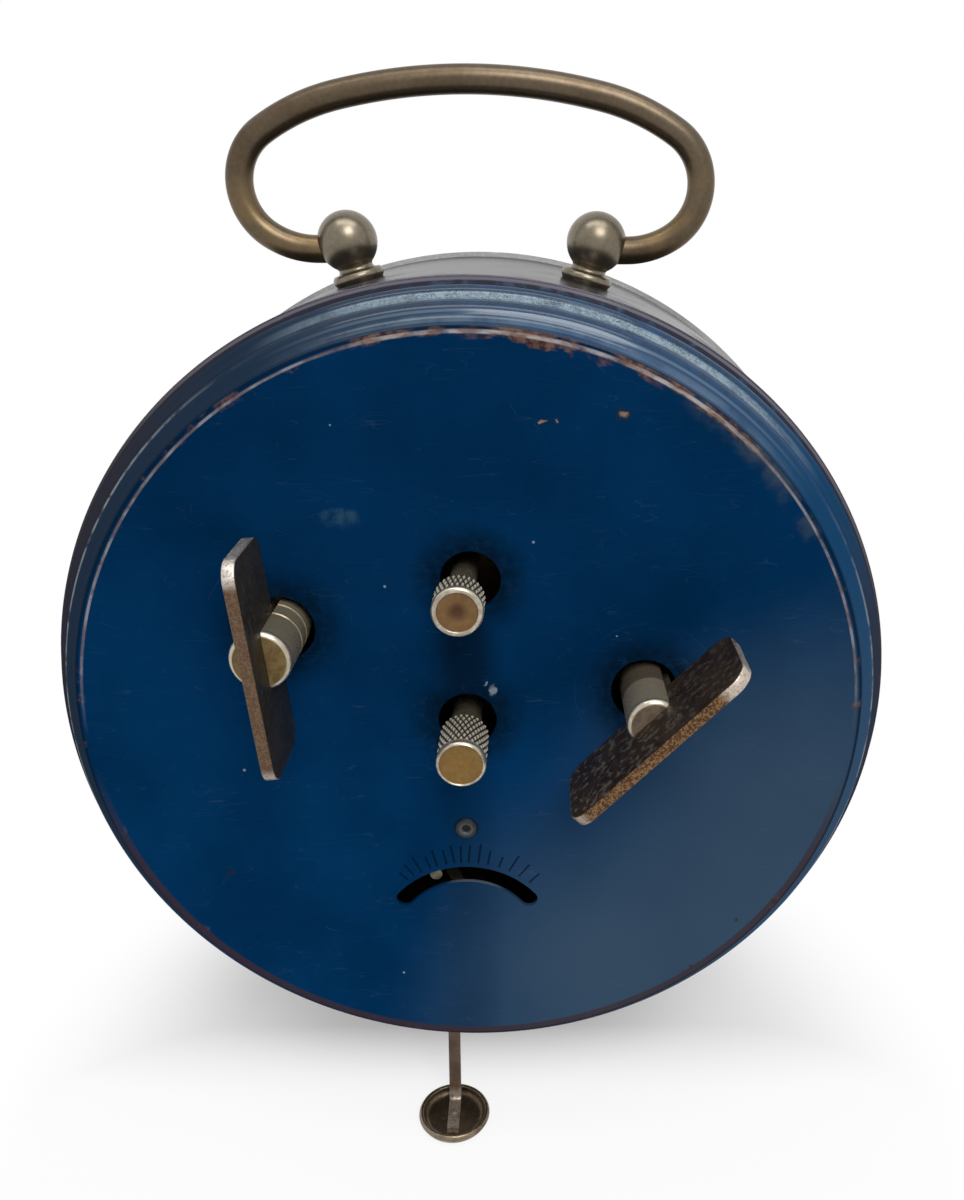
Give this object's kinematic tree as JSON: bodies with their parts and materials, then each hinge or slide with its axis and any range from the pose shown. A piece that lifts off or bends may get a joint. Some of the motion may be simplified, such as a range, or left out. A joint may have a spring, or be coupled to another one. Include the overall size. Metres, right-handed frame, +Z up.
{
  "type": "wind-up alarm clock",
  "caption": "Round wind-up alarm clock on feet, with a folding bail handle, winding keys and setting knobs on its blue back, and a geared movement inside.",
  "frame": {"origin": "on the table, under the middle of the bounding box", "axes": "+Z up, the dial faces -Y and the blue rear cover with its keys faces +Y, +X to the right as seen from the dial side"},
  "size_m": [0.1056, 0.061, 0.1431],
  "materials": {
    "blue_enamel": "gloss, crackled and worn at the edge",
    "nickel_case": "polished, a little dull",
    "nickel_post": "tarnished",
    "aged_bronze": "satin, worn",
    "dark_strap": "oxidised",
    "brass": "satin",
    "steel": "satin",
    "shaft_steel": "dull",
    "spring_steel": "blued",
    "knob_nickel": "knurled, bright",
    "key_nickel": "worn",
    "rusty_steel": "rusted",
    "screw_bronze": "oxidised",
    "dial_paint": "matt",
    "hand_paint": "gloss",
    "glass": "clear"
  },
  "bodies": {
    "frame": {"rear_cover": "blue_enamel", "case_drum": "nickel_case", "front_bezel": "nickel_case", "glass": "glass", "dial_ring": "dial_paint", "dial": "dial_paint", "dial_feet": "steel", "handle_post_left": "nickel_post", "handle_post_right": "nickel_post", "front_foot_left": "nickel_post", "front_foot_right": "nickel_post", "rear_leg": "dark_strap", "rear_foot_pad": "aged_bronze", "pad_rivet": "dark_strap", "rear_leg_screw": "dark_strap", "case_nuts": "steel", "rear_plate": "brass", "front_plate": "brass", "movement_pillars": "brass", "pillar_nuts": "steel", "cover_stud": "steel", "cover_screw": "screw_bronze", "time_mainspring": "spring_steel", "alarm_mainspring": "spring_steel", "hairspring": "spring_steel", "hairspring_stud": "brass"},
    "handle": {"handle": "aged_bronze"},
    "time_great": {"time_great_wheel": "brass"},
    "time_key": {"time_key_barrel": "key_nickel", "time_key_wing": "rusty_steel", "time_winding_arbor": "steel", "time_ratchet_wheel": "steel"},
    "time_click": {"time_click": "steel"},
    "centre_wheel": {"centre_wheel": "brass"},
    "third_wheel": {"third_wheel": "brass"},
    "fourth_wheel": {"fourth_wheel": "brass"},
    "escape_wheel": {"escape_wheel": "brass"},
    "pallet_lever": {"pallet_lever": "steel"},
    "balance_wheel": {"balance_wheel": "brass"},
    "regulator": {"regulator_lever": "brass"},
    "time_set": {"centre_arbor": "shaft_steel", "time_set_knob": "knob_nickel", "cannon_pinion": "steel", "minute_hand": "hand_paint", "hand_nut": "brass"},
    "minute_wheel": {"minute_wheel": "brass"},
    "hour_wheel": {"hour_wheel": "brass", "hour_hand": "hand_paint"},
    "alarm_release": {"alarm_release_wheel": "brass"},
    "alarm_set": {"alarm_set_arbor": "shaft_steel", "alarm_set_knob": "knob_nickel", "alarm_hand": "hand_paint"},
    "alarm_great": {"alarm_great_wheel": "brass"},
    "alarm_key": {"alarm_key_barrel": "key_nickel", "alarm_key_wing": "key_nickel", "alarm_winding_arbor": "steel", "alarm_ratchet_wheel": "steel"},
    "alarm_click": {"alarm_click": "steel"},
    "alarm_escape": {"alarm_escape_wheel": "brass"},
    "hammer": {"hammer": "steel"}
  },
  "joints": [
    {"name": "handle_fold", "type": "hinge", "parent": "frame", "child": "handle", "pos_m": [0, -0.007, 0.1224], "axis": [1, 0, 0], "range_deg": [-90, 90]},
    {"name": "time_great_turn", "type": "hinge", "parent": "frame", "child": "time_great", "pos_m": [-0.0212, -0.0055, 0.0728], "axis": [0, 1, 0], "continuous": true},
    {"name": "time_key_turn", "type": "hinge", "parent": "time_great", "child": "time_key", "pos_m": [-0.0212, 0.0145, 0.0728], "axis": [0, 1, 0], "continuous": true},
    {"name": "time_click_lift", "type": "hinge", "parent": "time_great", "child": "time_click", "pos_m": [-0.02978, -0.0123, 0.07829], "axis": [0, -1, 0], "range_deg": [0, 8], "stiffness_Nm_per_rad": 0.00002},
    {"name": "centre_turn", "type": "hinge", "parent": "frame", "child": "centre_wheel", "pos_m": [0.0007, -0.0055, 0.0683], "axis": [0, 1, 0], "continuous": true},
    {"name": "third_turn", "type": "hinge", "parent": "frame", "child": "third_wheel", "pos_m": [-0.00797, -0.0055, 0.05591], "axis": [0, 1, 0], "continuous": true},
    {"name": "fourth_turn", "type": "hinge", "parent": "frame", "child": "fourth_wheel", "pos_m": [0.00204, -0.0055, 0.05013], "axis": [0, 1, 0], "continuous": true},
    {"name": "escape_turn", "type": "hinge", "parent": "frame", "child": "escape_wheel", "pos_m": [0.01147, -0.0055, 0.04469], "axis": [0, 1, 0], "continuous": true},
    {"name": "balance_swing", "type": "hinge", "parent": "frame", "child": "balance_wheel", "pos_m": [0.0012, -0.0055, 0.0359], "axis": [0, 1, 0], "range_deg": [-30, 30], "stiffness_Nm_per_rad": 0.000006},
    {"name": "pallet_rock", "type": "hinge", "parent": "frame", "child": "pallet_lever", "pos_m": [0.0107, -0.0055, 0.03924], "axis": [0, 1, 0], "range_deg": [-4.5, 4.5]},
    {"name": "regulator_turn", "type": "hinge", "parent": "frame", "child": "regulator", "pos_m": [0.0012, 0.0064, 0.0359], "axis": [0, 1, 0], "range_deg": [-70, 25]},
    {"name": "time_set_turn", "type": "hinge", "parent": "frame", "child": "time_set", "pos_m": [0.0007, 0.0145, 0.0683], "axis": [0, 1, 0], "continuous": true},
    {"name": "minute_turn", "type": "hinge", "parent": "frame", "child": "minute_wheel", "pos_m": [-0.01011, -0.017, 0.06437], "axis": [0, 1, 0], "continuous": true},
    {"name": "hour_turn", "type": "hinge", "parent": "frame", "child": "hour_wheel", "pos_m": [0.0007, -0.0192, 0.0683], "axis": [0, 1, 0], "continuous": true},
    {"name": "alarm_release_turn", "type": "hinge", "parent": "frame", "child": "alarm_release", "pos_m": [0.0007, -0.0192, 0.0867], "axis": [0, 1, 0], "continuous": true},
    {"name": "alarm_set_turn", "type": "hinge", "parent": "frame", "child": "alarm_set", "pos_m": [0.0007, 0.0145, 0.0867], "axis": [0, 1, 0], "continuous": true},
    {"name": "alarm_great_turn", "type": "hinge", "parent": "frame", "child": "alarm_great", "pos_m": [0.0225, -0.0055, 0.0808], "axis": [0, 1, 0], "continuous": true},
    {"name": "alarm_key_turn", "type": "hinge", "parent": "alarm_great", "child": "alarm_key", "pos_m": [0.0225, 0.0145, 0.0808], "axis": [0, 1, 0], "continuous": true},
    {"name": "alarm_click_lift", "type": "hinge", "parent": "alarm_great", "child": "alarm_click", "pos_m": [0.02719, -0.0123, 0.07175], "axis": [0, -1, 0], "range_deg": [0, 8], "stiffness_Nm_per_rad": 0.00002},
    {"name": "alarm_escape_turn", "type": "hinge", "parent": "frame", "child": "alarm_escape", "pos_m": [0.03195, -0.0055, 0.06443], "axis": [0, 1, 0], "continuous": true},
    {"name": "hammer_swing", "type": "hinge", "parent": "frame", "child": "hammer", "pos_m": [0.03613, -0.0055, 0.05945], "axis": [0, 1, 0], "range_deg": [-3, 6]}
  ],
  "couplings": [
    {"joint": "third_turn", "follows": "fourth_turn", "ratio": -0.13333},
    {"joint": "centre_turn", "follows": "fourth_turn", "ratio": 0.016667},
    {"joint": "time_great_turn", "follows": "fourth_turn", "ratio": -0.0027778},
    {"joint": "escape_turn", "follows": "fourth_turn", "ratio": -10},
    {"joint": "minute_turn", "follows": "time_set_turn", "ratio": -0.33333},
    {"joint": "hour_turn", "follows": "time_set_turn", "ratio": 0.083333},
    {"joint": "alarm_release_turn", "follows": "time_set_turn", "ratio": -0.083333},
    {"joint": "alarm_escape_turn", "follows": "alarm_great_turn", "ratio": -6},
    {"joint": "pallet_rock", "follows": "balance_swing", "ratio": -0.149}
  ]
}
